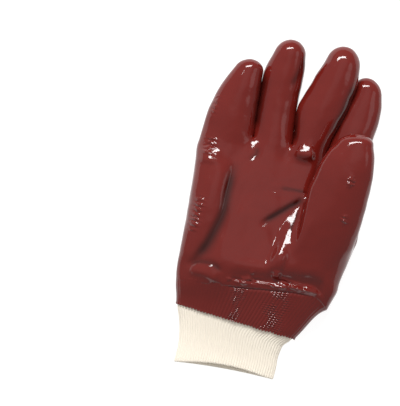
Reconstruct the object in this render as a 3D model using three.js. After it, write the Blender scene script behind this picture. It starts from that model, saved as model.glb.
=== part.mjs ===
// PVC-coated work glove for the right hand, lying on its back with the palm up.
// Millimetres. +Z is up, +Y runs from the cuff to the fingertips, +X is the thumb's side.
// The coat with its cotton liner is one hollow wall, open at the wrist, with all five digits
// hollow. The knitted wrist is a second tube whose upper end is sewn in under the coat.
import * as THREE from 'three';

// Driving dimensions, in millimetres
const PALM_LENGTH = 134.5; // coat's lower edge to the finger forks
const PALM_THICKNESS = 39; // over the rolled outer edge of the hand
const HEEL_THICKNESS = 43; // over the ball of the thumb
const BALL_BULGE = 0.334; // how far the ball of the thumb stands out, as a share of its width
const KNUCKLE_THICKNESS = 26; // the hand at the forks, under the thumb
const WRIST_WIDTH = 96.5; // coat's lower edge as it lies
const WRIST_THICKNESS = 22;
const WRIST_SHIFT = 5.8; // the wrist's centre line, towards the thumb
const SEAM_HEIGHT = 27.5; // coat's lower edge to the sewn wrist seam
const SEAM_RIDGE = 1; // what the sewn seam raises the coat by
const SEAM_BAND = 3.2; // from the seam's crest to either foot of its ridge
const SEAM_SKEW = 13; // the seam line climbs towards the thumb
const CUFF_LENGTH = 40; // bare knitting below the coat
const CUFF_WIDTH = 78;
const CUFF_THICKNESS = 13;
const CUFF_SHIFT = 2.5; // from the wrist's centre line to the cuff's, towards the thumb
const MOUTH_SKEW = 4.5; // the cuff's mouth is longer on the little finger's side
const FRONT_LIFT = 4.5; // how far the middle of the mouth's front edge stops short
const BACK_LIFT = 1.2; // the same for its back edge
const COAT_WALL = 1.3; // PVC and liner together
const KNIT_WALL = 1.8;
const FIT = 0.35; // clearance between the knitting and the coat round it
const WEB_BULGE = 4; // how far a web stands up between two fingers, half way through
const BACK_FLATTENING = 2.6; // how much of the back of the hand the table presses flat
const FINGER_GAP = 0.5; // taken off each side of a finger, so that neighbours stay clear
const CROTCH_HEIGHT = 106; // coat's lower edge to the crotch of the thumb
const THUMB_ROOT = 43.5; // length of the root that the thumb grows from, along the hand

// Rows of a table as objects with named columns
function table(columns, rows) {
  const names = columns.split(' ');
  return rows.map((row) => Object.fromEntries(names.map((name, i) => [name, row[i]])));
}

// The four fingers, from the outer edge of the hand. Root widths add up to the palm's width.
// fork is the height of the fork on the finger's inner side, as a share of PALM_LENGTH.
// Sections: at is a share of length, wide and shift of width, thick and lift of thickness.
// The last section starts the rounded tip, which ends at tip_shift and tip_lift.
const LITTLE_FINGER = {
  length: 65.5, width: 43, thickness: 27, fork: 0.993, tip_shift: 0.06, tip_lift: 0.76,
  sections: table('at wide shift thick lift', [
    [0.0, 1.0, 0.0, 1.0, 0.5],
    [0.23, 0.9, -0.03, 0.98, 0.58],
    [0.46, 0.8, -0.035, 0.94, 0.64],
    [0.69, 0.68, -0.005, 0.86, 0.69],
    [0.84, 0.545, 0.023, 0.74, 0.72],
  ]),
};
const RING_FINGER = {
  length: 84.3, width: 28, thickness: 25.5, fork: 1.03, tip_shift: -0.25, tip_lift: 0.76,
  sections: table('at wide shift thick lift', [
    [0.0, 1.0, 0.0, 1.0, 0.5],
    [0.1, 1.14, -0.04, 1.0, 0.5],
    [0.2, 1.13, -0.1, 1.0, 0.5],
    [0.43, 1.08, -0.207, 0.98, 0.54],
    [0.65, 1.11, -0.262, 0.98, 0.6],
    [0.79, 1.01, -0.262, 0.93, 0.66],
    [0.85, 0.91, -0.262, 0.89, 0.69],
  ]),
};
const MIDDLE_FINGER = {
  length: 90.5, width: 28, thickness: 27, fork: 1.0, tip_shift: 0.19, tip_lift: 0.76,
  sections: table('at wide shift thick lift', [
    [0.0, 1.0, 0.0, 1.0, 0.52],
    [0.18, 1.06, -0.01, 1.0, 0.58],
    [0.29, 1.22, -0.02, 1.0, 0.62],
    [0.4, 1.3, -0.014, 0.98, 0.66],
    [0.6, 1.19, 0.096, 0.96, 0.7],
    [0.73, 1.09, 0.146, 0.92, 0.73],
    [0.84, 0.94, 0.18, 0.86, 0.75],
  ]),
};
const INDEX_FINGER = {
  length: 78, width: 28, thickness: 23, fork: 0.955, tip_shift: 0.02, tip_lift: 0.5,
  sections: table('at wide shift thick lift', [
    [0.0, 1.0, 0.0, 1.0, 0.5],
    [0.2, 0.96, 0.025, 0.98, 0.48],
    [0.4, 0.99, 0.036, 0.96, 0.46],
    [0.56, 0.99, 0.057, 0.94, 0.45],
    [0.75, 0.89, 0.075, 0.88, 0.45],
    [0.84, 0.8, 0.066, 0.8, 0.46],
  ]),
};
const FINGERS = [LITTLE_FINGER, RING_FINGER, MIDDLE_FINGER, INDEX_FINGER];
const OUTER_FORK = 0.97; // foot of the little finger's outer side, as a share of PALM_LENGTH

// The thumb lies over the index finger's root. Its shares are as a finger's, with lift measured
// from the knuckles' own height, and at counted from the crotch. side is its centre line, as a
// share of half the palm's width, and slant how far its tip is cut askew.
const THUMB = {
  length: 59, width: 44, thickness: 26, side: 0.822, slant: 0.15, tip_shift: 0.05, tip_lift: 0.76,
  sections: table('at wide shift thick lift', [
    [0.11, 1.08, 0.0, 1.0, 0.56],
    [0.28, 1.03, 0.006, 1.0, 0.64],
    [0.53, 0.96, 0.0, 0.98, 0.72],
    [0.66, 0.87, 0.0, 0.95, 0.74],
    [0.77, 0.77, 0.005, 0.92, 0.75],
    [0.84, 0.66, 0.012, 0.86, 0.75],
  ]),
};

// The hand from the coat's edge to the forks. up is a share of PALM_LENGTH. flare is how far
// each edge has gone from its place at the wrist to its place at the knuckles, ball the share
// of the ball's bulge, rise how far the thickness has gone from the wrist's to the palm's and the
// heel's, and outer and inner how far it has come down to the knuckles' on either side.
const HAND = table('up flare ball rise outer inner', [
  [0.0, 0.0, 0.0, 0.0, 0.0, 0.0],
  [0.09, 0.12, 0.4, 0.2, 0.0, 0.0],
  [0.19, 0.24, 0.78, 0.48, 0.0, 0.0],
  [0.28, 0.38, 0.82, 0.76, 0.0, 0.0],
  [0.39, 0.48, 0.93, 0.95, 0.0, 0.03],
  [0.54, 0.61, 1.04, 1.0, 0.0, 0.2],
  [0.65, 0.71, 1.04, 1.0, 0.0, 0.5],
  [0.76, 0.81, 0.92, 1.0, 0.15, 0.94],
  [0.87, 0.9, 0.4, 1.0, 0.46, 1.08],
  [1.0, 1.0, 0.0, 1.0, 1.0, 1.12],
]);

// Folds of the palm, each along a bent line from start over middle to end. x is a share of half
// the palm's width, y of PALM_LENGTH, height of PALM_THICKNESS and wide of the palm's width.
const FOLDS = table('x0 y0 x1 y1 x2 y2 height wide', [
  [-0.1, 0.9, -0.07, 0.72, -0.02, 0.54, -0.16, 0.22], // hollow of the palm
  [-0.48, 0.88, -0.39, 0.57, -0.66, 0.23, -0.15, 0.075], // valley beside the outer roll
  [-0.78, 0.91, -0.72, 0.57, -0.75, 0.35, 0.04, 0.1], // crest of the outer roll
  [0.5, 0.79, 0.22, 0.7, -0.01, 0.56, -0.14, 0.072], // crease from the thumb's crotch
  [0.44, 0.7, 0.36, 0.58, 0.34, 0.4, 0.05, 0.06], // fold beside the ball of the thumb
  [-0.57, 0.21, -0.43, 0.24, -0.29, 0.21, 0.05, 0.07], // pucker above the seam
  [-0.1, 0.26, 0.29, 0.29, 0.76, 0.34, -0.05, 0.055], // dip above the seam
]);

// How finely the surfaces are divided
const ACROSS = 6; // strips over the front, and over the back, of each finger
const DEEP = 4; // strips down each side of a finger
const THUMB_ACROSS = 8;
const THUMB_DEEP = 6;
const RING_STEP = 8.6; // between two rings of a digit
const THUMB_JOIN_RINGS = 4; // rings that lead from the palm into the thumb
const TIP_ANGLES = [26, 47, 66]; // rings round each rounded tip, in degrees
const CUFF_ROWS = 6; // from the cuff's mouth to the coat's edge
const SKIRT_ROWS = 3; // from the coat's edge to the foot of the seam's ridge
const HEEL_ROWS = 4; // from the seam's ridge to the thumb's root
const KNUCKLE_ROWS = 4; // from the crotch to the forks

const PALM_WIDTH = FINGERS.reduce((sum, finger) => sum + finger.width, 0);
const HALF = PALM_WIDTH / 2;
const FRONT = FINGERS.length * ACROSS; // strips over the whole palm
const AROUND = 2 * (FRONT + DEEP);
const { lerp, clamp, smoothstep, degToRad } = THREE.MathUtils;

// A column's value at a station, on a smooth curve through the table's rows.
function along(rows, key, column, at) {
  const last = rows.length - 1;
  const slope = (i) => {
    const before = rows[Math.max(i - 1, 0)];
    const after = rows[Math.min(i + 1, last)];
    return (after[column] - before[column]) / (after[key] - before[key]);
  };
  let i = 0;
  while (i < last - 1 && at > rows[i + 1][key]) i += 1;
  const span = rows[i + 1][key] - rows[i][key];
  const t = clamp((at - rows[i][key]) / span, 0, 1);
  const ease = t * t * (3 - 2 * t);
  const leave = t * (1 - t) * (1 - t) * span * slope(i);
  const arrive = t * t * (t - 1) * span * slope(i + 1);
  return lerp(rows[i][column], rows[i + 1][column], ease) + leave + arrive;
}

// A skin is a list of points and the four-sided faces between them, outward side first.
function newSkin() {
  return { points: [], quads: [] };
}

function addPoint(skin, point) {
  return skin.points.push(point) - 1;
}

// Faces between two closed rings of point numbers, the second further along.
function bridge(skin, ring, next) {
  ring.forEach((point, k) => {
    const after = (k + 1) % ring.length;
    skin.quads.push([point, ring[after], next[after], next[k]]);
  });
}

// A point of the unit circle for step k of a ring: front, right side, back, left side.
function roundRing(k, across, deep) {
  const [u, v] = squareEdge(k, across, deep);
  return discPoint(u, v);
}

function squareEdge(k, across, deep) {
  if (k < across) return [-1 + (2 * k) / across, 1];
  if (k < across + deep) return [1, 1 - (2 * (k - across)) / deep];
  if (k < 2 * across + deep) return [1 - (2 * (k - across - deep)) / across, -1];
  return [-1, -1 + (2 * (k - 2 * across - deep)) / deep];
}

function discPoint(u, v) {
  return new THREE.Vector2(u * Math.sqrt(1 - (v * v) / 2), v * Math.sqrt(1 - (u * u) / 2));
}

// The centre, half sizes and lean of a digit's section at a share of its length.
function digitSection(digit, root, at) {
  const { sections } = digit;
  const tipStart = sections[sections.length - 1].at;
  const value = (column) => along(sections, 'at', column, Math.min(at, tipStart));
  const past = Math.max(0, (at - tipStart) / (1 - tipStart));
  const shift = lerp(value('shift'), digit.tip_shift, past);
  const lift = lerp(value('lift'), digit.tip_lift, past);
  return {
    slant: (digit.slant || 0) * smoothstep(at, sections[0].at, tipStart),
    centre: new THREE.Vector3(
      root.x + shift * digit.width,
      root.y + at * digit.length,
      root.z + lift * digit.thickness,
    ),
    halfWidth: (value('wide') * digit.width) / 2 - FINGER_GAP,
    halfThickness: (value('thick') * digit.thickness) / 2,
  };
}

function sectionPoint(section, disc) {
  return new THREE.Vector3(
    section.centre.x + disc.x * section.halfWidth,
    section.centre.y + disc.x * section.halfWidth * section.slant,
    section.centre.z + disc.y * section.halfThickness,
  );
}

// A digit's rings from the one it grows from to its rounded tip, and the patch that closes it.
function growDigit(skin, digit, root, rootRing, firstAt, across, deep) {
  const tipStart = digit.sections[digit.sections.length - 1].at;
  const rings = Math.round(((tipStart - firstAt) * digit.length) / RING_STEP);
  const tipSection = (cos) => {
    const sin = Math.sqrt(1 - cos * cos);
    const section = digitSection(digit, root, tipStart + (1 - tipStart) * sin);
    section.halfWidth *= cos;
    section.halfThickness *= cos;
    return section;
  };
  const addRing = (section) =>
    rootRing.map((_, k) => addPoint(skin, sectionPoint(section, roundRing(k, across, deep))));
  const made = [rootRing];
  for (let i = firstAt > 0 ? 0 : 1; i <= rings; i += 1) {
    made.push(addRing(digitSection(digit, root, lerp(firstAt, tipStart, i / rings))));
  }
  const cosines = TIP_ANGLES.map((angle) => Math.cos(degToRad(angle)));
  cosines.forEach((cos) => made.push(addRing(tipSection(cos))));
  for (let i = 1; i < made.length; i += 1) bridge(skin, made[i - 1], made[i]);

  // The tip is closed by a square patch whose edge is the last ring.
  const edge = made[made.length - 1];
  const edgeCos = cosines[cosines.length - 1];
  const patch = [];
  for (let i = 0; i <= across; i += 1) {
    patch.push([]);
    for (let j = 0; j <= deep; j += 1) {
      if (j === 0) patch[i].push(edge[i]);
      else if (i === across) patch[i].push(edge[across + j]);
      else if (j === deep) patch[i].push(edge[2 * across + deep - i]);
      else if (i === 0) patch[i].push(edge[(2 * (across + deep) - j) % edge.length]);
      else {
        const disc = discPoint(-1 + (2 * i) / across, 1 - (2 * j) / deep);
        const reach = disc.length();
        const section = tipSection(edgeCos * reach);
        patch[i].push(addPoint(skin, sectionPoint(section, disc.divideScalar(reach || 1))));
      }
    }
  }
  for (let i = 0; i < across; i += 1) {
    for (let j = 0; j < deep; j += 1) {
      skin.quads.push([patch[i][j], patch[i + 1][j], patch[i + 1][j + 1], patch[i][j + 1]]);
    }
  }
  return made;
}

// Where the fingers stand along the knuckles: root centres and the forks between them.
function knuckleLine() {
  let edge = -HALF;
  const corner = (finger) => (finger.width / 2) * (1 - Math.SQRT1_2);
  const first = FINGERS[0];
  const last = FINGERS[FINGERS.length - 1];
  const forks = [{ x: -HALF + corner(first), y: OUTER_FORK * PALM_LENGTH }];
  const roots = FINGERS.map((finger, i) => {
    const before = forks[i].y;
    edge += finger.width;
    forks.push({ x: edge, y: finger.fork * PALM_LENGTH });
    return new THREE.Vector3(edge - finger.width / 2, (before + forks[i + 1].y) / 2, 0);
  });
  forks[forks.length - 1].x -= corner(last);
  return { forks, roots };
}

const LOBE_REACH = 0.78; // how far round its oval each finger root goes before it meets the next

// The ring of the whole hand at the forks, lobed by the four finger roots.
function knuckleRing({ forks, roots }) {
  const lobe = (f, i, side) => {
    const root = digitSection(FINGERS[f], roots[f], 0);
    const x = lerp(forks[f].x, forks[f + 1].x, i / ACROSS);
    const out = (LOBE_REACH * (x - root.centre.x)) / (FINGERS[f].width / 2);
    const z = root.centre.z + side * root.halfThickness * Math.sqrt(1 - out * out);
    return new THREE.Vector3(x, lerp(forks[f].y, forks[f + 1].y, i / ACROSS), z);
  };
  const mid = (a, b) => a.clone().add(b).multiplyScalar(0.5);
  const rows = [1, -1].map((side) => {
    const row = [];
    for (let k = 0; k <= FRONT; k += 1) {
      const f = Math.min(Math.floor(k / ACROSS), FINGERS.length - 1);
      const here = lobe(f, k - f * ACROSS, side);
      const shared = k % ACROSS === 0 && k > 0 && k < FRONT;
      row.push(shared ? mid(here, lobe(f - 1, ACROSS, side)) : here);
    }
    return row;
  });
  const sidePoint = (f, k) => {
    const root = digitSection(FINGERS[f], roots[f], 0);
    const disc = roundRing(k, ACROSS, DEEP);
    const point = sectionPoint(root, disc);
    point.y = f === 0 ? forks[0].y : forks[FINGERS.length].y;
    return point;
  };
  const [front, back] = rows;
  const right = [];
  const left = [];
  for (let j = 1; j < DEEP; j += 1) {
    right.push(sidePoint(FINGERS.length - 1, ACROSS + j));
    left.push(sidePoint(0, 2 * ACROSS + DEEP + j));
  }
  return [...front, ...right, ...back.reverse(), ...left];
}

// Height of the palm's folds at a place, above its plain rounded section.
const foldLines = FOLDS.map((fold) => ({
  height: fold.height * PALM_THICKNESS,
  wide: fold.wide * PALM_WIDTH,
  line: new THREE.QuadraticBezierCurve(
    new THREE.Vector2(fold.x0 * HALF, fold.y0 * PALM_LENGTH),
    new THREE.Vector2(fold.x1 * HALF, fold.y1 * PALM_LENGTH),
    new THREE.Vector2(fold.x2 * HALF, fold.y2 * PALM_LENGTH),
  ).getPoints(24),
}));

function foldHeight(x, y) {
  const place = new THREE.Vector2(x, y);
  return foldLines.reduce((sum, fold) => {
    const away = Math.min(...fold.line.map((point) => point.distanceTo(place)));
    return sum + fold.height * Math.exp(-((away / fold.wide) ** 2));
  }, 0);
}

// Even steps round a squared oval of the given half sizes, starting beside its left end.
function ovalSteps(halfWidth, halfHeight, squareness) {
  const samples = 720;
  const points = [];
  const lengths = [0];
  for (let i = 0; i <= samples; i += 1) {
    const angle = Math.PI * (1 - (2 * i) / samples);
    const round = (value) => Math.sign(value) * Math.abs(value) ** (2 / squareness);
    points.push(new THREE.Vector2(round(Math.cos(angle)), round(Math.sin(angle))));
    if (i === 0) continue;
    const step = points[i].clone().sub(points[i - 1]);
    lengths.push(lengths[i - 1] + Math.hypot(step.x * halfWidth, step.y * halfHeight));
  }
  const steps = [];
  let i = 0;
  for (let k = 0; k < AROUND; k += 1) {
    const wanted = (lengths[samples] * k) / AROUND;
    while (lengths[i + 1] < wanted) i += 1;
    const part = (wanted - lengths[i]) / (lengths[i + 1] - lengths[i]);
    steps.push(points[i].clone().lerp(points[i + 1], part));
  }
  // The first step of a ring is the front end of its left side.
  return steps.map((_, k) => steps[(k + DEEP / 2) % AROUND]);
}

const SKEW_END = 0.5; // share of PALM_LENGTH at which the rows run straight across again
const SKEW_SPAN = 1.12; // where the slant has faded, as a share of half the palm's width

// How far the wrist seam's slanting line carries the rows near it along the hand.
function seamSkew(x, up) {
  const seamUp = SEAM_HEIGHT / PALM_LENGTH;
  const near = up < seamUp
    ? smoothstep(up, 0, seamUp)
    : 1 - smoothstep(up, seamUp, SKEW_END);
  const side = x / HALF;
  return near * SEAM_SKEW * side * (1 - Math.min(1, Math.abs(side / SKEW_SPAN)) ** 8);
}

const OVAL = 2.5; // squareness of the hand's plain section
const WIDEST = 0.46; // height at which the section is widest, as a share of its thickness
const FLAT_FROM = 0.4; // share of PALM_LENGTH from which the back is pressed fully flat

function palmRing(up) {
  const value = (column) => along(HAND, 'up', column, up);
  const flare = value('flare');
  const left = lerp(WRIST_SHIFT - WRIST_WIDTH / 2, -HALF, flare);
  const right = lerp(WRIST_SHIFT + WRIST_WIDTH / 2, HALF, flare) + value('ball') * BALL_BULGE * THUMB.width;
  const rise = value('rise');
  const outer = lerp(lerp(WRIST_THICKNESS, PALM_THICKNESS, rise), KNUCKLE_THICKNESS, value('outer'));
  const inner = lerp(lerp(WRIST_THICKNESS, HEEL_THICKNESS, rise), KNUCKLE_THICKNESS, value('inner'));
  const centre = (left + right) / 2;
  const halfWidth = (right - left) / 2;
  const middle = (WIDEST * (outer + inner)) / 2;
  const fromSeam = Math.abs(up * PALM_LENGTH - SEAM_HEIGHT);
  const ridge = fromSeam < SEAM_BAND / 2 ? SEAM_RIDGE : 0;
  const flatten = BACK_FLATTENING * smoothstep(up, 0, FLAT_FROM);
  return ovalSteps(halfWidth, (outer + inner) / 4, OVAL).map((step) => {
    const x = centre + step.x * (halfWidth + ridge);
    const top = lerp(outer, inner, smoothstep(x, left, right));
    const y = up * PALM_LENGTH + seamSkew(x, up);
    const upward = clamp(step.y, 0, 1);
    const reach = step.y > 0 ? top - middle + ridge : middle + flatten + ridge;
    return new THREE.Vector3(x, y, middle + step.y * reach + upward * foldHeight(x, y));
  });
}

// Shares of PALM_LENGTH at which the hand has its rings, and the rows of the thumb's root.
function palmRows() {
  const seam = SEAM_HEIGHT / PALM_LENGTH;
  const band = SEAM_BAND / PALM_LENGTH;
  const crotch = CROTCH_HEIGHT / PALM_LENGTH;
  const foot = crotch - THUMB_ROOT / PALM_LENGTH;
  const rows = [];
  const spread = (from, to, count) => {
    for (let i = 0; i < count; i += 1) rows.push(lerp(from, to, i / count));
  };
  spread(0, seam - band, SKIRT_ROWS);
  rows.push(seam - band, seam);
  spread(seam + band, foot, HEEL_ROWS);
  const first = rows.length;
  spread(foot, crotch, THUMB_DEEP);
  const last = rows.length;
  spread(crotch, 1, KNUCKLE_ROWS);
  return { rows, first, last };
}

const KNUCKLE_PULL = 0.85; // how far the last row below the forks has taken on their lobes
const JOIN_INWARD = 0.25; // the thumb's start towards its middle, as a share of its half size
const JOIN_RISE = 0.55; // its start upwards, as a share of its thickness
const JOIN_AHEAD = 0.5; // its arrival along the hand, as a share of the distance bridged
const SOFTENING = 3; // rounds of smoothing where the digits grow from the hand

// The whole outer surface of the coat.
function coatSkin() {
  const skin = newSkin();
  const knuckles = knuckleLine();
  const lobes = knuckleRing(knuckles);
  const { rows, first, last } = palmRows();
  const thumbLeft = FRONT - THUMB_ACROSS;
  const inThumb = (row, k) => row > first && row < last && k > thumbLeft && k < FRONT;

  const rings = rows.map((up, row) =>
    palmRing(up).map((point, k) => {
      if (inThumb(row, k)) return -1;
      const towards = smoothstep(up, rows[last], 1);
      const target = lobes[k].clone();
      target.y = point.y + (target.y - PALM_LENGTH) * towards;
      return addPoint(skin, point.lerp(target, towards * KNUCKLE_PULL));
    }),
  );
  rings.push(lobes.map((point) => addPoint(skin, point)));
  for (let row = 1; row < rings.length; row += 1) {
    for (let k = 0; k < AROUND; k += 1) {
      const next = (k + 1) % AROUND;
      const hole = row > first && row <= last && k >= thumbLeft && k < FRONT;
      if (!hole) {
        skin.quads.push([
          rings[row - 1][k], rings[row - 1][next], rings[row][next], rings[row][k],
        ]);
      }
    }
  }

  // Each web is a line of points from the front of a fork to its back.
  const top = rings[rings.length - 1];
  const backFork = (f) => top[2 * FRONT + DEEP - f * ACROSS];
  const webs = FINGERS.slice(1).map((_, i) => {
    const front = skin.points[top[(i + 1) * ACROSS]];
    const back = skin.points[backFork(i + 1)];
    const web = [];
    for (let j = 1; j < DEEP; j += 1) {
      const point = front.clone().lerp(back, j / DEEP);
      point.y += WEB_BULGE * Math.sin((Math.PI * j) / DEEP);
      web.push(addPoint(skin, point));
    }
    return web;
  });
  const outerRight = top.slice(FRONT + 1, FRONT + DEEP);
  const outerLeft = top.slice(2 * FRONT + DEEP + 1);
  const soft = new Map();
  const soften = (ring, weight) =>
    ring.forEach((point) => soft.set(point, Math.max(weight, soft.get(point) || 0)));
  FINGERS.forEach((finger, f) => {
    const right = f < FINGERS.length - 1 ? webs[f] : outerRight;
    const left = f > 0 ? [...webs[f - 1]].reverse() : outerLeft;
    const front = top.slice(f * ACROSS, (f + 1) * ACROSS + 1);
    const backStart = FRONT + DEEP + (FINGERS.length - 1 - f) * ACROSS;
    const back = top.slice(backStart, backStart + ACROSS + 1);
    const rootRing = [...front, ...right, ...back, ...left];
    const made = growDigit(skin, finger, knuckles.roots[f], rootRing, 0, ACROSS, DEEP);
    soften(made[0], 0.5);
    soften(made[1], 0.5);
  });
  soften(rings[rings.length - 2], 0.4);

  // The thumb grows from the edge of the gap left in the palm.
  const edge = [];
  for (let k = thumbLeft; k <= FRONT; k += 1) edge.push(rings[first][k]);
  for (let row = first + 1; row < last; row += 1) edge.push(rings[row][FRONT]);
  for (let k = FRONT; k >= thumbLeft; k -= 1) edge.push(rings[last][k]);
  for (let row = last - 1; row > first; row -= 1) edge.push(rings[row][thumbLeft]);
  const root = new THREE.Vector3(THUMB.side * HALF, CROTCH_HEIGHT, KNUCKLE_THICKNESS);
  const firstAt = THUMB.sections[0].at;
  const section = digitSection(THUMB, root, firstAt);
  const middle = edge
    .reduce((sum, point) => sum.add(skin.points[point]), new THREE.Vector3())
    .divideScalar(edge.length);
  const joins = [];
  for (let i = 1; i <= THUMB_JOIN_RINGS; i += 1) {
    const t = i / (THUMB_JOIN_RINGS + 1);
    joins.push(
      edge.map((point, k) => {
        const start = skin.points[point];
        const end = sectionPoint(section, roundRing(k, THUMB_ACROSS, THUMB_DEEP));
        const inward = middle.clone().sub(start).setZ(0).multiplyScalar(JOIN_INWARD);
        const leave = inward.add(new THREE.Vector3(0, 0, JOIN_RISE * THUMB.thickness));
        const arrive = new THREE.Vector3(0, JOIN_AHEAD * start.distanceTo(end), 0);
        const ease = t * t * (3 - 2 * t);
        const place = start.clone().lerp(end, ease);
        place.addScaledVector(leave, t * (1 - t) * (1 - t));
        place.addScaledVector(arrive, t * t * (t - 1));
        return addPoint(skin, place);
      }),
    );
  }
  let before = edge;
  joins.forEach((ring) => {
    bridge(skin, before, ring);
    soften(ring, 0.4);
    before = ring;
  });
  soften(edge, 0.4);
  growDigit(skin, THUMB, root, before, firstAt, THUMB_ACROSS, THUMB_DEEP);

  smoothSkin(skin, soft, SOFTENING);
  skin.points.forEach((point) => point.setZ(Math.max(point.z, 0)));
  return { skin, rings };
}

// Moves each marked point some way towards the middle of its neighbours, a few times over.
function smoothSkin(skin, soft, times) {
  const neighbours = skin.points.map(() => new Set());
  skin.quads.forEach((quad) =>
    quad.forEach((point, i) => {
      neighbours[point].add(quad[(i + 1) % 4]);
      neighbours[quad[(i + 1) % 4]].add(point);
    }),
  );
  for (let i = 0; i < times; i += 1) {
    const moved = [...soft].map(([point, weight]) => {
      const near = [...neighbours[point]];
      const middle = near
        .reduce((sum, other) => sum.add(skin.points[other]), new THREE.Vector3())
        .divideScalar(near.length);
      return [point, skin.points[point].clone().lerp(middle, weight)];
    });
    moved.forEach(([point, place]) => skin.points[point].copy(place));
  }
}

// The outward direction at each point of a skin.
function directions(skin) {
  const out = skin.points.map(() => new THREE.Vector3());
  skin.quads.forEach((quad) => {
    const [a, b, c, d] = quad.map((point) => skin.points[point]);
    const across = new THREE.Vector3().crossVectors(c.clone().sub(a), d.clone().sub(b));
    quad.forEach((point) => out[point].add(across));
  });
  return out.map((direction) => direction.normalize());
}

// A closed wall from an outer and an inner skin of one layout, joined along their open ends.
// Each rim is a closed ring of point numbers, with the wall's open end on its right-hand side.
function wallGeometry(outer, inner, rims) {
  const count = outer.points.length;
  const all = [...outer.points, ...inner];
  const indices = [];
  const addQuad = ([a, b, c, d], flip) => {
    const diagonal = (i, j) => all[i % count].distanceTo(all[j % count]);
    const halves = diagonal(a, c) < diagonal(b, d)
      ? [[a, b, c], [a, c, d]]
      : [[a, b, d], [b, c, d]];
    halves.forEach(([i, j, k]) => indices.push(...(flip ? [i, k, j] : [i, j, k])));
  };
  outer.quads.forEach((quad) => {
    addQuad(quad, false);
    addQuad(quad.map((point) => point + count), true);
  });
  rims.forEach((rim) => {
    rim.forEach((point, k) => {
      const next = rim[(k + 1) % rim.length];
      indices.push(point, point + count, next + count, point, next + count, next);
    });
  });
  const geometry = new THREE.BufferGeometry().setFromPoints(all);
  geometry.setIndex(indices);
  geometry.computeVertexNormals();
  return geometry;
}

function inset(skin, depth) {
  const out = directions(skin);
  return skin.points.map((point, i) => {
    const place = point.clone().addScaledVector(out[i], -depth);
    return place.setZ(Math.max(place.z, depth));
  });
}

const { skin: coat, rings: coatRings } = coatSkin();
const coatGeometry = wallGeometry(coat, inset(coat, COAT_WALL), [coatRings[0]]);

// The bare knitting below the coat. down is a share of CUFF_LENGTH. left, right and flat are
// how far either edge and the thickness have gone from the wrist's to the cuff's.
const CUFF = table('down left right flat', [
  [0.0, 0.0, 0.0, 0.0],
  [0.08, 0.05, 0.35, 0.12],
  [0.2, 0.28, 1.05, 0.32],
  [0.36, 0.55, 1.22, 0.55],
  [0.5, 0.74, 1.25, 0.72],
  [0.72, 0.94, 1.05, 0.9],
  [1.0, 1.0, 1.0, 1.0],
]);

function cuffRing(down) {
  const value = (column) => along(CUFF, 'down', column, down);
  const tuck = COAT_WALL + FIT;
  const edge = (side) => WRIST_SHIFT + side * (WRIST_WIDTH / 2 - tuck);
  const end = (side) => WRIST_SHIFT + CUFF_SHIFT + (side * CUFF_WIDTH) / 2;
  const left = lerp(edge(-1), end(-1), value('left'));
  const right = lerp(edge(1), end(1), value('right'));
  const thickness = lerp(WRIST_THICKNESS - 2 * tuck, CUFF_THICKNESS, value('flat'));
  const low = tuck * (1 - value('flat'));
  return ovalSteps((right - left) / 2, thickness / 2, OVAL).map((step) => {
    const lift = step.y > 0 ? FRONT_LIFT : BACK_LIFT;
    const mouth = MOUTH_SKEW * step.x + lift * Math.abs(step.y) * (1 - step.x ** 2);
    return new THREE.Vector3(
      lerp(left, right, (1 + step.x) / 2),
      -down * CUFF_LENGTH + down * down * mouth,
      low + (thickness / 2) * (1 + step.y),
    );
  });
}

// The knitting from its mouth to its upper end, which lies inside the coat below the seam.
function cuffSkin() {
  const skin = newSkin();
  const rings = [];
  for (let i = 0; i < CUFF_ROWS; i += 1) {
    rings.push(cuffRing(1 - i / CUFF_ROWS).map((point) => addPoint(skin, point)));
  }
  const inside = inset(coat, COAT_WALL + FIT);
  coatRings.slice(0, SKIRT_ROWS + 1).forEach((ring) => {
    rings.push(ring.map((point) => addPoint(skin, inside[point].clone())));
  });
  for (let i = 1; i < rings.length; i += 1) bridge(skin, rings[i - 1], rings[i]);
  return { skin, rings };
}

const { skin: cuff, rings: cuffRings } = cuffSkin();
const cuffEnd = [...cuffRings[cuffRings.length - 1]].reverse();
const cuffGeometry = wallGeometry(cuff, inset(cuff, KNIT_WALL), [cuffRings[0], cuffEnd]);

const pvc = new THREE.MeshStandardMaterial({ color: 0x7a2a26, roughness: 0.16, metalness: 0 });
const knit = new THREE.MeshStandardMaterial({ color: 0xefe0c0, roughness: 0.95, metalness: 0 });

const coatMesh = new THREE.Mesh(coatGeometry, pvc);
coatMesh.name = 'coated_hand';
const cuffMesh = new THREE.Mesh(cuffGeometry, knit);
cuffMesh.name = 'knit_wrist';

// The glove stands with its lowest face on the table and the middle of its outline at the origin.
const laid = new THREE.Group();
laid.add(coatMesh, cuffMesh);
const bounds = new THREE.Box3().setFromObject(laid, true);
const middleOfAll = bounds.getCenter(new THREE.Vector3());
laid.position.set(-middleOfAll.x, -middleOfAll.y, -bounds.min.z);

const glove = new THREE.Group();
glove.add(laid);
export default glove;
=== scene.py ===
import math

import bpy
import numpy as np
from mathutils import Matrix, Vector, noise


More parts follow.
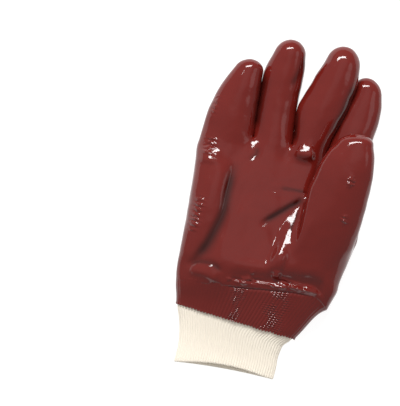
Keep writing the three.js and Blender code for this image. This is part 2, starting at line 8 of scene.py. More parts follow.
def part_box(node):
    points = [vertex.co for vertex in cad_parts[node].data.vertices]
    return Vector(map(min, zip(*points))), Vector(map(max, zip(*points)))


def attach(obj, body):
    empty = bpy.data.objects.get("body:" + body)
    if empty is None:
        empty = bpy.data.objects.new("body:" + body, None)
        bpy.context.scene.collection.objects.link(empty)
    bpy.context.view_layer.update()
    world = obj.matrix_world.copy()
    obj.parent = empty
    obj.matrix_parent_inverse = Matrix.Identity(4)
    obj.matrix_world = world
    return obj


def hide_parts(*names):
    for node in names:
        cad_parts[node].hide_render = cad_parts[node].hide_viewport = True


# A PVC-coated work glove for the right hand, lying on its back with the palm up. A jersey hand
# is sewn to a ribbed knit wrist, pulled over a former and dipped in red PVC to a little below
# the wrist seam. It is made here in that order. Lengths are in millimetres, from the middle of
# the knuckles, the coat's lower edge and the table, until a mesh is placed in the frame.
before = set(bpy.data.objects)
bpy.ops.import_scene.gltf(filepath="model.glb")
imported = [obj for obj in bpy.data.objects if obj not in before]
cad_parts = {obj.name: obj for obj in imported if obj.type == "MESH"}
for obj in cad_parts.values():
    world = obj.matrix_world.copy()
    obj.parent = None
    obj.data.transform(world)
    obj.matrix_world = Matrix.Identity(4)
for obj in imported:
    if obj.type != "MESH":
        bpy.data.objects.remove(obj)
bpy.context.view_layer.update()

# The coated hand: cotton jersey cut and sewn to a hand's outline, then dipped in plasticised
# PVC, which is fused in an oven and sets as one glossy skin. All five digits are hollow. Its
# lower edge is rolled under and stitched to the wrist.
PALM_LENGTH = 134.5  # coat's lower edge to the finger forks
PALM_THICKNESS = 39.0
HEEL_THICKNESS = 43.0  # over the ball of the thumb
KNUCKLE_THICKNESS = 26.0
WRIST_WIDTH = 96.5
WRIST_THICKNESS = 22.0
WRIST_SHIFT = 5.8  # the wrist's centre line, towards the thumb
SEAM_HEIGHT = 27.5  # coat's lower edge to the wrist seam
SEAM_SKEW = 13.0  # the seam line climbs towards the thumb
COAT_WALL = 1.3
WEB_BULGE = 4.0
BACK_FLATTENING = 2.6  # how much of the back of the hand the table presses flat
FINGER_GAP = 0.15  # taken off each side of a finger
CROTCH_HEIGHT = 106.0  # coat's lower edge to the crotch of the thumb
THUMB_ROOT = 43.5  # length of the root that the thumb grows from
OUTER_FORK = 0.97  # foot of the little finger's outer side, as a share of the palm's length


def table(columns, *rows):
    """The rows of a table as one array for each named column."""
    return dict(zip(columns.split(), np.array(rows, float).T))


# Shares of a digit's own length, width and thickness. The last row starts the rounded tip.
SECTION = "at wide shift thick lift"
FINGERS = [
    dict(
        length=65.5, width=43.0, thickness=27.0, fork=0.993, tip_shift=0.06, tip_lift=0.76,
        sections=table(
            SECTION,
            (0.00, 1.00, 0.000, 1.00, 0.50),
            (0.23, 0.93, -0.020, 0.98, 0.58),
            (0.46, 0.83, -0.025, 0.94, 0.64),
            (0.69, 0.68, -0.005, 0.86, 0.69),
            (0.84, 0.545, 0.023, 0.74, 0.72),
        ),
    ),
    dict(
        length=85.3, width=28.0, thickness=25.5, fork=1.03, tip_shift=-0.25, tip_lift=0.76,
        sections=table(
            SECTION,
            (0.00, 1.00, 0.000, 1.00, 0.50),
            (0.10, 1.20, -0.045, 1.00, 0.50),
            (0.20, 1.20, -0.115, 1.00, 0.50),
            (0.43, 1.14, -0.220, 0.98, 0.54),
            (0.65, 1.14, -0.268, 0.98, 0.60),
            (0.79, 1.01, -0.262, 0.93, 0.66),
            (0.85, 0.91, -0.262, 0.89, 0.69),
        ),
    ),
    dict(
        length=91.3, width=28.0, thickness=27.0, fork=1.0, tip_shift=0.19, tip_lift=0.76,
        sections=table(
            SECTION,
            (0.00, 1.00, 0.000, 1.00, 0.52),
            (0.18, 1.06, -0.010, 1.00, 0.58),
            (0.29, 1.22, -0.020, 1.00, 0.62),
            (0.40, 1.34, 0.006, 0.98, 0.66),
            (0.60, 1.26, 0.126, 0.96, 0.70),
            (0.73, 1.17, 0.176, 0.92, 0.73),
            (0.84, 1.00, 0.205, 0.86, 0.75),
        ),
    ),
    dict(
        length=78.8, width=28.0, thickness=23.0, fork=0.955, tip_shift=0.05, tip_lift=0.5,
        sections=table(
            SECTION,
            (0.00, 1.00, 0.000, 1.00, 0.50),
            (0.20, 1.12, 0.020, 0.98, 0.48),
            (0.40, 1.20, 0.030, 0.96, 0.46),
            (0.56, 1.20, 0.060, 0.94, 0.45),
            (0.75, 1.03, 0.100, 0.88, 0.45),
            (0.84, 0.87, 0.100, 0.80, 0.46),
        ),
    ),
]
THUMB = dict(
    length=59.0, width=44.0, thickness=26.0, side=0.822, slant=0.15, lean=0.13, tip_shift=0.05,
    tip_lift=0.76,
    sections=table(
        SECTION,
        (0.11, 1.08, 0.000, 1.00, 0.56),
        (0.28, 1.03, 0.006, 1.00, 0.64),
        (0.53, 0.96, 0.000, 0.98, 0.72),
        (0.66, 0.87, 0.000, 0.95, 0.74),
        (0.77, 0.77, 0.005, 0.92, 0.75),
        (0.84, 0.66, 0.012, 0.86, 0.75),
    ),
)
BALL_BULGE = 0.365 * THUMB["width"]  # how far the ball of the thumb stands out sideways
PALM_WIDTH = sum(finger["width"] for finger in FINGERS)
HALF = PALM_WIDTH / 2

# The hand from the coat's edge to the forks: how far its edges, the ball of the thumb and the
# thickness on either side have gone from the wrist's measure to the palm's and the knuckles'.
HAND = table(
    "up flare ball rise outer inner",
    (0.00, 0.00, 0.00, 0.00, 0.00, 0.00),
    (0.09, 0.12, 0.40, 0.20, 0.00, 0.00),
    (0.19, 0.24, 0.84, 0.48, 0.00, 0.00),
    (0.28, 0.38, 0.97, 0.76, 0.00, 0.00),
    (0.39, 0.48, 1.10, 0.95, 0.00, 0.03),
    (0.54, 0.61, 1.18, 1.00, 0.00, 0.20),
    (0.65, 0.71, 1.08, 1.00, 0.00, 0.50),
    (0.76, 0.81, 0.86, 1.00, 0.15, 0.94),
    (0.87, 0.90, 0.36, 1.00, 0.46, 1.08),
    (1.00, 1.00, 0.00, 1.00, 1.00, 1.12),
)

# The palm's main folds, each along a bent line. x is a share of half the palm's width, y of
# its length, height of its thickness and wide of its width.
MAIN_FOLDS = [
    ((-0.48, 0.88), (-0.39, 0.57), (-0.66, 0.23), -0.1, 0.07),  # valley by the outer roll
    ((-0.86, 0.96), (-0.74, 0.57), (-0.75, 0.35), 0.05, 0.09),  # crest of the outer roll
    ((-0.57, 0.21), (-0.43, 0.24), (-0.29, 0.21), 0.05, 0.07),  # pucker above the seam
]

ACROSS = 8  # strips over the front, and over the back, of each finger
DEEP = 6  # strips down each side of a finger
THUMB_ACROSS = 11
THUMB_DEEP = 8
RING_STEP = 6.2  # between two rings of a digit
THUMB_JOIN_RINGS = 5
JOIN_BULGE = 6.0  # how far the foot of the thumb rounds out sideways
JOIN_INWARD = 0.25  # how much each line of the foot leans in as it leaves the palm
JOIN_UPWARD = 0.55  # and how much it rises
JOIN_ALONG = 0.5  # how much it runs along the thumb as it arrives
TIP_ANGLES = (20, 37, 53, 68)  # rings round each rounded tip, in degrees
HEEL_ROWS = 6
KNUCKLE_ROWS = 5
FRONT = len(FINGERS) * ACROSS
AROUND = 2 * (FRONT + DEEP)
THUMB_LEFT = FRONT - THUMB_ACROSS  # where the gap for the thumb begins

# The rolled edge at the seam: how far above the seam a row lies, and how far it stands out.
HEM = table(
    "above stand",
    (-1.2, -1.2),
    (-1.4, -0.2),
    (-0.8, 0.3),
    (0.4, 0.5),
    (1.9, 0.4),
    (3.6, 0.15),
)
HEM_SHOWS = 0.7  # share of the rolled edge that shows through the coat
HEM_SUNK = 0.8  # how much of that is lost where the ball of the thumb begins
HEM_HIDDEN = 0.08  # how far it stands out where it doesn't show
HEEL_START = 4.2  # from the rolled edge to the first row of the heel
LOBES_SHOW = 0.85  # how far the last rows before the forks take on the fingers' lobes


def ease(value, low, high):
    """0 below low, 1 above high, and an even S-curve between."""
    t = np.clip((value - low) / (high - low), 0.0, 1.0)
    return t * t * (3.0 - 2.0 * t)


def mix(a, b, t):
    """a at t = 0, b at t = 1."""
    return a + (b - a) * t


def along(rows, column, at):
    """A column's value at a station of the first column, on a smooth curve through the rows."""
    stations = next(iter(rows.values()))
    values = rows[column]
    last = len(stations) - 1
    i = int(np.clip(np.searchsorted(stations, at) - 1, 0, last - 1))

    def slope(j):
        before = max(j - 1, 0)
        after = min(j + 1, last)
        return (values[after] - values[before]) / (stations[after] - stations[before])

    span = stations[i + 1] - stations[i]
    t = float(np.clip((at - stations[i]) / span, 0.0, 1.0))
    leave = t * (1 - t) ** 2 * span * slope(i)
    arrive = t * t * (t - 1) * span * slope(i + 1)
    return mix(values[i], values[i + 1], t * t * (3 - 2 * t)) + leave + arrive


def bend(start, middle, end, count=25):
    """Points of a line that leaves start towards middle and arrives at end from it."""
    t = np.linspace(0, 1, count)[:, None]
    start, middle, end = np.array(start), np.array(middle), np.array(end)
    return (1 - t) ** 2 * start + 2 * t * (1 - t) * middle + t * t * end


def nearest(places, line):
    """Distance of each place to a line of points."""
    gaps = places[:, None, :] - line[None, :, :]
    return np.sqrt((gaps**2).sum(2)).min(1)


def main_folds(places):
    """The height that the palm's main folds add at each place."""
    height = np.zeros(len(places))
    for start, middle, end, high, wide in MAIN_FOLDS:
        line = bend(start, middle, end) * (HALF, PALM_LENGTH)
        away = nearest(places, line) / (wide * PALM_WIDTH)
        height += high * PALM_THICKNESS * np.exp(-(away**2))
    return height


OVAL = 2.5  # squareness of the hand's plain section
WIDEST = 0.46  # height at which it is widest, as a share of its thickness


def oval_steps(half_width, half_height, count):
    """Even steps round a squared oval, starting beside its left end and going over the front."""
    turn = math.pi * (1 - 2 * np.linspace(0, 1, 721))
    sides = [np.sign(v) * np.abs(v) ** (2 / OVAL) for v in (np.cos(turn), np.sin(turn))]
    steps = np.hypot(np.diff(sides[0]) * half_width, np.diff(sides[1]) * half_height)
    lengths = np.concatenate([[0], np.cumsum(steps)])
    wanted = lengths[-1] * ((np.arange(count) / count + DEEP / 2 / AROUND) % 1)
    return [np.interp(wanted, lengths, side) for side in sides]


def seam_skew(x, up):
    """How far the slanting seam carries the rows near it along the hand."""
    seam = SEAM_HEIGHT / PALM_LENGTH
    near = ease(up, 0, seam) if up < seam else 1 - ease(up, seam, 0.5)
    side = x / HALF
    return near * SEAM_SKEW * side * (1 - np.minimum(1, np.abs(side / 1.12)) ** 8)


def palm_ring(up, stand=0.0, count=AROUND):
    """The hand's section at a share of its length, standing out by so many millimetres."""
    flare = along(HAND, "flare", up)
    left = mix(WRIST_SHIFT - WRIST_WIDTH / 2, -HALF, flare)
    right = mix(WRIST_SHIFT + WRIST_WIDTH / 2, HALF, flare) + along(HAND, "ball", up) * BALL_BULGE
    rise = along(HAND, "rise", up)
    outer = mix(WRIST_THICKNESS, PALM_THICKNESS, rise)
    outer = mix(outer, KNUCKLE_THICKNESS, along(HAND, "outer", up))
    inner = mix(WRIST_THICKNESS, HEEL_THICKNESS, rise)
    inner = mix(inner, KNUCKLE_THICKNESS, along(HAND, "inner", up))
    half_width = (right - left) / 2
    middle = WIDEST * (outer + inner) / 2
    across, high = oval_steps(half_width, (outer + inner) / 4, count)
    x = (left + right) / 2 + across * (half_width + stand)
    y = up * PALM_LENGTH + seam_skew(x, up)
    top = mix(outer, inner, ease(x, left, right))
    flat = BACK_FLATTENING * ease(up, 0, 0.4)
    reach = np.where(high > 0, top - middle, middle + flat) + stand
    folds = main_folds(np.stack([x, y], 1)) * np.clip(high, 0, 1)
    return np.stack([x, y, middle + high * reach + folds], 1)


def square_edge(k, across, deep):
    """Step k round the edge of a square: front, right side, back, left side."""
    if k < across:
        return -1 + 2 * k / across, 1
    if k < across + deep:
        return 1, 1 - 2 * (k - across) / deep
    if k < 2 * across + deep:
        return 1 - 2 * (k - across - deep) / across, -1
    return -1, -1 + 2 * (k - 2 * across - deep) / deep


def on_disc(u, v):
    """A place in the square as one on the unit disc."""
    return Vector((u * math.sqrt(1 - v * v / 2), v * math.sqrt(1 - u * u / 2)))


class Skin:
    """Points, four-sided faces with their outward side first, and each point's share of thumb."""

    def __init__(self):
        self.points = []
        self.faces = []
        self.thumb = []

    def add(self, point, thumb=0.0):
        self.points.append(Vector(point))
        self.thumb.append(thumb)
        return len(self.points) - 1

    def bridge(self, ring, after):
        """Faces between two rings of as many points."""
        for k, point in enumerate(ring):
            beside = (k + 1) % len(ring)
            self.faces.append((point, ring[beside], after[beside], after[k]))


def digit_section(digit, root, at):
    """Centre, half width, half thickness, slant and lean of a digit at a share of its length."""
    rows = digit["sections"]
    first, start = rows["at"][0], rows["at"][-1]
    past = max(0.0, (at - start) / (1 - start))
    here = min(at, start)
    shift = mix(along(rows, "shift", here), digit["tip_shift"], past)
    lift = mix(along(rows, "lift", here), digit["tip_lift"], past)
    centre = root + Vector(
        (shift * digit["width"], at * digit["length"], lift * digit["thickness"])
    )
    half_width = along(rows, "wide", here) * digit["width"] / 2 - FINGER_GAP
    half_thickness = along(rows, "thick", here) * digit["thickness"] / 2
    grown = float(ease(at, first, start))
    slant = digit.get("slant", 0.0) * grown
    lean = digit.get("lean", 0.0) * grown
    return centre, half_width, half_thickness, slant, lean


SLANT_FLATTENS = 1.6  # how much squarer a slanting digit's section is


def section_point(section, disc, size=1.0):
    """The point of a digit's section at a place on the unit disc."""
    centre, half_width, half_thickness, slant, lean = section
    across = disc.x * half_width * size
    flatter = math.copysign(abs(disc.y) ** (1 - SLANT_FLATTENS * slant), disc.y)
    high = flatter * half_thickness * size + across * lean
    return centre + Vector((across, across * slant, high))


def grow_digit(skin, digit, root, root_ring, first_at, across, deep, thumb=0.0):
    """A digit's rings from the one it grows from to its rounded tip, closed by a square patch."""
    start = digit["sections"]["at"][-1]
    count = round((start - first_at) * digit["length"] / RING_STEP)
    discs = [on_disc(*square_edge(k, across, deep)) for k in range(2 * (across + deep))]

    def tip(cosine):
        return digit_section(digit, root, start + (1 - start) * math.sqrt(1 - cosine**2))

    made = [root_ring]
    for i in range(0 if first_at > 0 else 1, count + 1):
        section = digit_section(digit, root, mix(first_at, start, i / count))
        made.append([skin.add(section_point(section, disc), thumb) for disc in discs])
    for angle in TIP_ANGLES:
        cosine = math.cos(math.radians(angle))
        section = tip(cosine)
        made.append([skin.add(section_point(section, disc, cosine), thumb) for disc in discs])
    for ring, after in zip(made, made[1:]):
        skin.bridge(ring, after)

    edge = made[-1]
    patch = [[None] * (deep + 1) for _ in range(across + 1)]
    for k, point in enumerate(edge):
        u, v = square_edge(k, across, deep)
        patch[round((u + 1) * across / 2)][round((1 - v) * deep / 2)] = point
    for i in range(1, across):
        for j in range(1, deep):
            disc = on_disc(-1 + 2 * i / across, 1 - 2 * j / deep) * cosine
            section = tip(disc.length)
            patch[i][j] = skin.add(section_point(section, disc), thumb)
    for i in range(across):
        for j in range(deep):
            skin.faces.append(
                (patch[i][j], patch[i + 1][j], patch[i + 1][j + 1], patch[i][j + 1])
            )
    return made


def knuckle_line():
    """The forks from the outer edge to the thumb's side, and the finger roots between them."""
    corners = [finger["width"] / 2 * (1 - math.sqrt(0.5)) for finger in FINGERS]
    forks = [[-HALF + corners[0], OUTER_FORK * PALM_LENGTH]]
    roots = []
    edge = -HALF
    for finger in FINGERS:
        edge += finger["width"]
        forks.append([edge, finger["fork"] * PALM_LENGTH])
        roots.append(Vector((edge - finger["width"] / 2, (forks[-2][1] + forks[-1][1]) / 2, 0)))
    forks[-1][0] -= corners[-1]
    return forks, roots


LOBE = 0.78  # share of a finger's half width that its lobe curves over


def knuckle_ring(forks, roots):
    """The ring of the whole hand at the forks, lobed by the four finger roots."""
    sections = [digit_section(finger, root, 0) for finger, root in zip(FINGERS, roots)]

    def lobe(f, i, side):
        centre, _, half_thickness, _, _ = sections[f]
        x = mix(forks[f][0], forks[f + 1][0], i / ACROSS)
        beside = LOBE * (x - centre.x) / (FINGERS[f]["width"] / 2)
        z = centre.z + side * half_thickness * math.sqrt(1 - beside * beside)
        return Vector((x, mix(forks[f][1], forks[f + 1][1], i / ACROSS), z))

    rows = []
    for side in (1, -1):
        row = []
        for k in range(FRONT + 1):
            f = min(k // ACROSS, len(FINGERS) - 1)
            here = lobe(f, k - f * ACROSS, side)
            if k % ACROSS == 0 and 0 < k < FRONT:
                here = (here + lobe(f - 1, ACROSS, side)) / 2
            row.append(here)
        rows.append(row)

    def side_points(f, first, fork):
        made = []
        for j in range(1, DEEP):
            point = section_point(sections[f], on_disc(*square_edge(first + j, ACROSS, DEEP)))
            point.y = fork[1]
            made.append(point)
        return made

    right = side_points(len(FINGERS) - 1, ACROSS, forks[-1])
    left = side_points(0, 2 * ACROSS + DEEP, forks[0])
    return rows[0] + right + rows[1][::-1] + left


def soften_skin(skin, soft, times):
    """Moves each marked point some way towards the middle of its neighbours, a few times."""
    beside = {point: set() for point in soft}
    for face in skin.faces:
        for i, point in enumerate(face):
            if point in beside:
                beside[point].update((face[i - 1], face[(i + 1) % 4]))
    for _ in range(times):
        moved = {}
        for point, weight in soft.items():
            near = beside[point]
            middle = sum((skin.points[other] for other in near), Vector()) / len(near)
            moved[point] = skin.points[point].lerp(middle, weight)
        for point, place in moved.items():
            skin.points[point] = place


def hem_ring(up, stand):
    """The hand's section, standing out where the rolled edge shows through the coat."""
    ring = palm_ring(up, stand)
    if stand <= 0:
        return ring
    x = ring[:, 0]
    sunk = HEM_SUNK * ease(x, 8, 16) * (1 - ease(x, 32, 40))
    shows = (HEM_SHOWS * ease(x, -20, -6) * (1 - sunk))[:, None]
    return mix(palm_ring(up, HEM_HIDDEN), ring, shows)


def palm_rings(skin, lobes):
    """The hand from the seam to the forks, and the rows where the gap for the thumb lies."""
    seam = SEAM_HEIGHT / PALM_LENGTH
    crotch = CROTCH_HEIGHT / PALM_LENGTH
    foot = crotch - THUMB_ROOT / PALM_LENGTH
    rows = [(seam + a / PALM_LENGTH, s) for a, s in zip(HEM["above"], HEM["stand"])]
    heel = rows[-1][0] + HEEL_START / PALM_LENGTH
    rows += [(up, 0.0) for up in np.linspace(heel, foot, HEEL_ROWS, endpoint=False)]
    first = len(rows)
    rows += [(up, 0.0) for up in np.linspace(foot, crotch, THUMB_DEEP, endpoint=False)]
    last = len(rows)
    rows += [(up, 0.0) for up in np.linspace(crotch, 1, KNUCKLE_ROWS, endpoint=False)]

    rings = []
    for row, (up, stand) in enumerate(rows):
        ring = []
        towards = float(ease(up, rows[last][0], 1))
        for k, point in enumerate(hem_ring(up, stand)):
            if first < row < last and THUMB_LEFT < k < FRONT:
                ring.append(None)
                continue
            point = Vector(point)
            target = lobes[k].copy()
            target.y = point.y + (target.y - PALM_LENGTH) * towards
            ring.append(skin.add(point.lerp(target, towards * LOBES_SHOW)))
        rings.append(ring)
    rings.append([skin.add(point) for point in lobes])
    for row in range(1, len(rings)):
        for k in range(AROUND):
            beside = (k + 1) % AROUND
            if not (first < row <= last and THUMB_LEFT <= k < FRONT):
                before, here = rings[row - 1], rings[row]
                skin.faces.append((before[k], before[beside], here[beside], here[k]))
    return rings, first, last


def mark(soft, ring, weight):
    """Notes how much the points of a ring are to be softened."""
    for point in ring:
        soft[point] = max(weight, soft.get(point, 0.0))


def grow_fingers(skin, top, roots, soft):
    """The fingers, from the ring of the hand at the forks and the webs between them."""
    # A web is a line of points from the front of a fork over to its back.
    webs = []
    for f in range(1, len(FINGERS)):
        front = skin.points[top[f * ACROSS]]
        back = skin.points[top[2 * FRONT + DEEP - f * ACROSS]]
        web = []
        for j in range(1, DEEP):
            point = front.lerp(back, j / DEEP)
            point.y += WEB_BULGE * math.sin(math.pi * j / DEEP)
            web.append(skin.add(point))
        webs.append(web)

    for f, finger in enumerate(FINGERS):
        right = webs[f] if f < len(webs) else top[FRONT + 1 : FRONT + DEEP]
        left = webs[f - 1][::-1] if f > 0 else top[2 * FRONT + DEEP + 1 :]
        front = top[f * ACROSS : (f + 1) * ACROSS + 1]
        back_start = FRONT + DEEP + (len(FINGERS) - 1 - f) * ACROSS
        back = top[back_start : back_start + ACROSS + 1]
        made = grow_digit(
            skin, finger, roots[f], front + right + back + left, 0.0, ACROSS, DEEP
        )
        mark(soft, made[0], 0.5)
        mark(soft, made[1], 0.5)


def grow_thumb(skin, rings, first, last, soft):
    """The thumb, from the edge of the gap in the palm, and how soft the points of its ball are."""
    edge = rings[first][THUMB_LEFT : FRONT + 1]
    edge += [rings[row][FRONT] for row in range(first + 1, last)]
    edge += rings[last][THUMB_LEFT : FRONT + 1][::-1]
    edge += [rings[row][THUMB_LEFT] for row in range(last - 1, first, -1)]
    root = Vector((THUMB["side"] * HALF, CROTCH_HEIGHT, KNUCKLE_THICKNESS))
    first_at = THUMB["sections"]["at"][0]
    section = digit_section(THUMB, root, first_at)
    middle = sum((skin.points[point] for point in edge), Vector()) / len(edge)
    before = edge
    ball = {}
    for row in range(first - 3, first + 4):
        for k in range(THUMB_LEFT + 2, FRONT + 7):
            if rings[row][k] is not None:
                ball[rings[row][k]] = 0.5

    # The rings of its foot leave the palm upwards and arrive along the thumb. They round out,
    # most a quarter of the way along.
    for i in range(1, THUMB_JOIN_RINGS + 1):
        t = i / (THUMB_JOIN_RINGS + 1)
        ring = []
        for k, point in enumerate(edge):
            start = skin.points[point]
            disc = on_disc(*square_edge(k, THUMB_ACROSS, THUMB_DEEP))
            end = section_point(section, disc)
            outer_side = float(ease(start.x, middle.x, middle.x + 0.4 * THUMB["width"]))
            leave = (middle - start) * JOIN_INWARD * (1 - outer_side)
            leave.z = JOIN_UPWARD * THUMB["thickness"]
            arrive = Vector((0, JOIN_ALONG * (end - start).length, 0))
            place = start.lerp(end, t * t * (3 - 2 * t))
            place += leave * (t * (1 - t) ** 2) + arrive * (t * t * (t - 1))
            rounded = 9.5 * t * (1 - t) ** 3  # which peaks at 1
            place.x += JOIN_BULGE * outer_side * rounded
            ring.append(skin.add(place, t))
        skin.bridge(before, ring)
        mark(soft, ring, 0.4)
        for k, point in enumerate(ring):
            u, v = square_edge(k, THUMB_ACROSS, THUMB_DEEP)
            if (v > 0.3 and u > -0.7) or u > 0.6:
                ball[point] = 0.5 * (1 - t)
        before = ring
    mark(soft, edge, 0.4)
    grow_digit(skin, THUMB, root, before, first_at, THUMB_ACROSS, THUMB_DEEP, thumb=1.0)
    return ball


def hand_skin():
    """The outer surface of the coated hand as a coarse net, open at the seam."""
    skin = Skin()
    forks, roots = knuckle_line()
    rings, first, last = palm_rings(skin, knuckle_ring(forks, roots))
    soft = {}
    grow_fingers(skin, rings[-1], roots, soft)
    mark(soft, rings[-2], 0.4)
    ball = grow_thumb(skin, rings, first, last, soft)
    soften_skin(skin, soft, times=5)
    soften_skin(skin, ball, times=20)
    return skin


# The creases, puckers and dents that set in the PVC on the former and in packing, each along
# a line in millimetres from the middle of the palm. left and right are how far it reaches on
# either side of its line, seen along it.
PALM_MIDDLE = (3.5, 72.5)
CREASES = [
    # line, height, left, right
    # The outer roll turns sharply down into the valley beside it.
    ([(-34, 48), (-33, 20), (-32, 5), (-35, -15), (-38, -27), (-46, -46)], -2.4, 8.0, 2.4),
    # The crease from the crotch of the thumb, and the fold between the palm and the thumb's foot.
    ([(29, 37), (19, 27), (9, 17), (-4, 2)], -1.3, 24.0, 1.9),
    # The curled pucker above the seam on the outer side.
    ([(-45, -45), (-31, -43.5), (-19, -46)], 1.7, 5.0, 3.0),
    ([(-47, -43), (-39, -36.5), (-28, -35), (-18, -40)], -1.3, 2.2, 1.6),
    ([(-26, -50.5), (-21, -49.3), (-16, -49)], -0.8, 1.2, 1.2),
    # The plump foot of the little finger.
    ([(-56, 50), (-54, 37)], 1.5, 7.0, 6.0),
    # The rolled foot of the middle finger and the crease under it.
    ([(8, 67), (13, 66), (18, 66.5), (23, 69)], 3.4, 6.0, 4.5),
    ([(1, 67), (7, 62), (15, 61), (22, 65)], -0.5, 1.3, 6.0),
    # Small crinkles at the web of the little finger.
    ([(-30, 59), (-26, 58), (-22, 57)], 0.4, 5.0, 5.0),
    ([(-21, 62), (-20, 57), (-24, 49)], -0.3, 1.4, 1.4),
    ([(-17, 61), (-17.5, 55), (-19, 51)], -0.25, 1.3, 1.3),
    # Fine wrinkles across the palm below the middle finger.
    ([(-5, 32), (8, 35), (19, 36.5), (28, 38)], -0.4, 1.0, 1.2),
    ([(2, 38.5), (12, 39.5), (24, 39)], -0.25, 0.9, 1.0),
    ([(-6, 37), (4, 41), (16, 43)], -0.25, 1.0, 1.2),
    ([(4, 30), (13, 32), (23, 33)], -0.3, 0.9, 1.0),
    # Puckers above the seam, where the shirred jersey is stitched to the ribs.
    ([(33, -35), (39, -33.5), (44, -34)], 1.3, 1.7, 1.9),
    ([(43, -33.5), (50, -32.5), (57, -33)], 1.3, 1.6, 1.9),
    ([(18.5, -29.5), (24.5, -28.5)], 2.2, 2.8, 2.4),
    ([(25.5, -36), (32.5, -35)], 1.5, 1.8, 1.9),
    ([(-4, -42), (0, -40.5), (4, -36)], 1.7, 2.4, 2.2),
    ([(2, -34), (5, -31)], 0.8, 1.5, 1.5),
    ([(-15, -43), (-10, -42)], 1.2, 1.7, 1.7),
]
THUMB_CREASES = [
    # Small puckers in the coat.
    ([(51, 53.5), (53.5, 53.5), (56, 53)], 1.3, 1.7, 2.2),
    ([(51.5, 58.5), (53.5, 59), (55.5, 58.5)], 0.8, 1.3, 1.8),
    ([(57, 25.5), (58.5, 25.5), (60, 25)], 1.4, 1.7, 2.2),
]

# Where the coat is crinkled in short wrinkles: line, width and share of the full depth.
CRINKLED = [
    ([(-56, 60), (-56, 50), (-56, 43)], 4.0, 1.0),
    ([(-61, 92), (-61, 82), (-61, 72)], 2.0, 0.6),
    ([(-51, 15), (-51, 0), (-50, -19)], 3.2, 1.0),
    ([(15, -27), (30, -31), (44, -33), (57, -33)], 3.4, 0.6),
    ([(-16, -44), (-6, -42), (4, -39), (14, -35)], 3.0, 0.6),
    ([(4, -42), (16, -38.5), (30, -35.5), (44, -34.5)], 2.6, 0.6),
    ([(50, 56), (54, 56), (58, 55.5)], 2.8, 1.0),
    ([(56, 30), (58, 27), (59, 23)], 2.4, 1.0),
]

# Painted shade: where the coat lies in folds and in the gaps beside the fingers, its red is painted
# darker, as shade falls there: line, width and share of the painted shade colour.
PAINTED_FOLD_SHADE = [
    ([(-34.5, 48), (-33, 22), (-31.5, 4), (-35, -16), (-39, -29), (-46, -43)], 4.0, 0.8),
    ([(27, 35), (17, 25.5), (9, 17), (-2, 5)], 2.6, 0.85),
    ([(-31.5, 119), (-30, 100), (-28, 84), (-26.5, 72)], 3.4, 0.75),
    ([(38, 133), (36, 112), (33, 92), (31, 84)], 3.2, 0.75),
    ([(-5, 141), (-7, 127), (-10, 112)], 2.2, 0.5),
    ([(0, 99), (3, 86), (6, 72)], 1.6, 0.7),
    ([(23.5, 26), (22, 12), (21.5, -4)], 1.4, 0.6),
    ([(-22, 61), (-20, 56), (-24, 49)], 1.8, 0.5),
    ([(4, 36), (16, 37.5), (28, 39)], 1.3, 0.6),
    ([(-24, -50), (-20, -49), (-16, -48.5)], 1.3, 0.6),
    ([(-46, -42), (-38, -36.5), (-28, -35.5), (-18, -39)], 1.6, 0.6),
]


def crease_line(points, step=0.6):
    """Even points on a smooth curve through the given ones, and which way it runs at each."""
    given = np.array(points, float)
    ends = np.vstack([2 * given[0] - given[1], given, 2 * given[-1] - given[-2]])
    made = []
    for a, b, c, d in zip(ends, ends[1:], ends[2:], ends[3:]):
        count = max(2, int(np.linalg.norm(c - b) / step))
        t = np.linspace(0, 1, count, endpoint=False)[:, None]
        made.append(
            0.5 * (2 * b + (c - a) * t + (2 * a - 5 * b + 4 * c - d) * t**2
                   + (3 * b - a - 3 * c + d) * t**3)
        )
    line = np.vstack(made + [given[-1:]])
    runs = np.gradient(line, axis=0)
    return line, runs / np.linalg.norm(runs, axis=1)[:, None]


def crease_height(places, points, height, left, right):
    """Height that one crease adds at each place."""
    line, runs = crease_line(points)
    reach = 2.6 * max(left, right)
    low, high = line.min(0) - reach, line.max(0) + reach
    near = np.flatnonzero(((places > low) & (places < high)).all(1))
    made = np.zeros(len(places))
    if not len(near):
        return made
    gaps = places[near][:, None, :] - line[None, :, :]
    away = (gaps**2).sum(2)
    closest = away.argmin(1)
    gap = gaps[np.arange(len(near)), closest]
    run = runs[closest]
    side = run[:, 0] * gap[:, 1] - run[:, 1] * gap[:, 0]
    wide = np.where(side > 0, left, right)
    share = closest / (len(line) - 1)
    fade = ease(share, 0, 0.22) * (1 - ease(share, 0.78, 1))
    distance = np.sqrt(away[np.arange(len(near)), closest])
    made[near] = height * fade * np.exp(-((distance / wide) ** 2))
    return made


def share_along(lines, points):
    """How far each point has the look that lies along the lines, from 0 to 1."""
    places = points[:, :2] - PALM_MIDDLE
    made = np.zeros(len(points))
    for line, wide, share in lines:
        made = np.maximum(made, crease_height(places, line, share, wide, wide))
    return made


# The palm of the lying hand is nearly one slope from the heel down to the finger roots. The
# flank of the thumb's ball rises from it, highest at the heel, with an even crest beside it.
PALM_SLOPE = 0.138
PALM_HEIGHT = 35.8
HEEL_PLACE = -17.0  # where the palm has that height, from the middle of the palm
WEB_PLACES = (-26, 2)  # across the hand
WEB_WIDTH = 7.0
WEB_SLOPE = 0.065  # how much steeper the palm falls to a web, from WEB_START on
WEB_START = 40.0
FLANK_RISE = 7.6
FLANK_WIDTH = 8.5
FLANK_TOP = 26.0  # where the flank begins to rise, and how far from there it has all its height
FLANK_LENGTH = 43.0
CREST = 20.5  # across the hand, and how it leans
CREST_LEAN = 0.1
ROLLING = 0.75  # soft waves of the palm, height and length
ROLL_LENGTH = 17.0


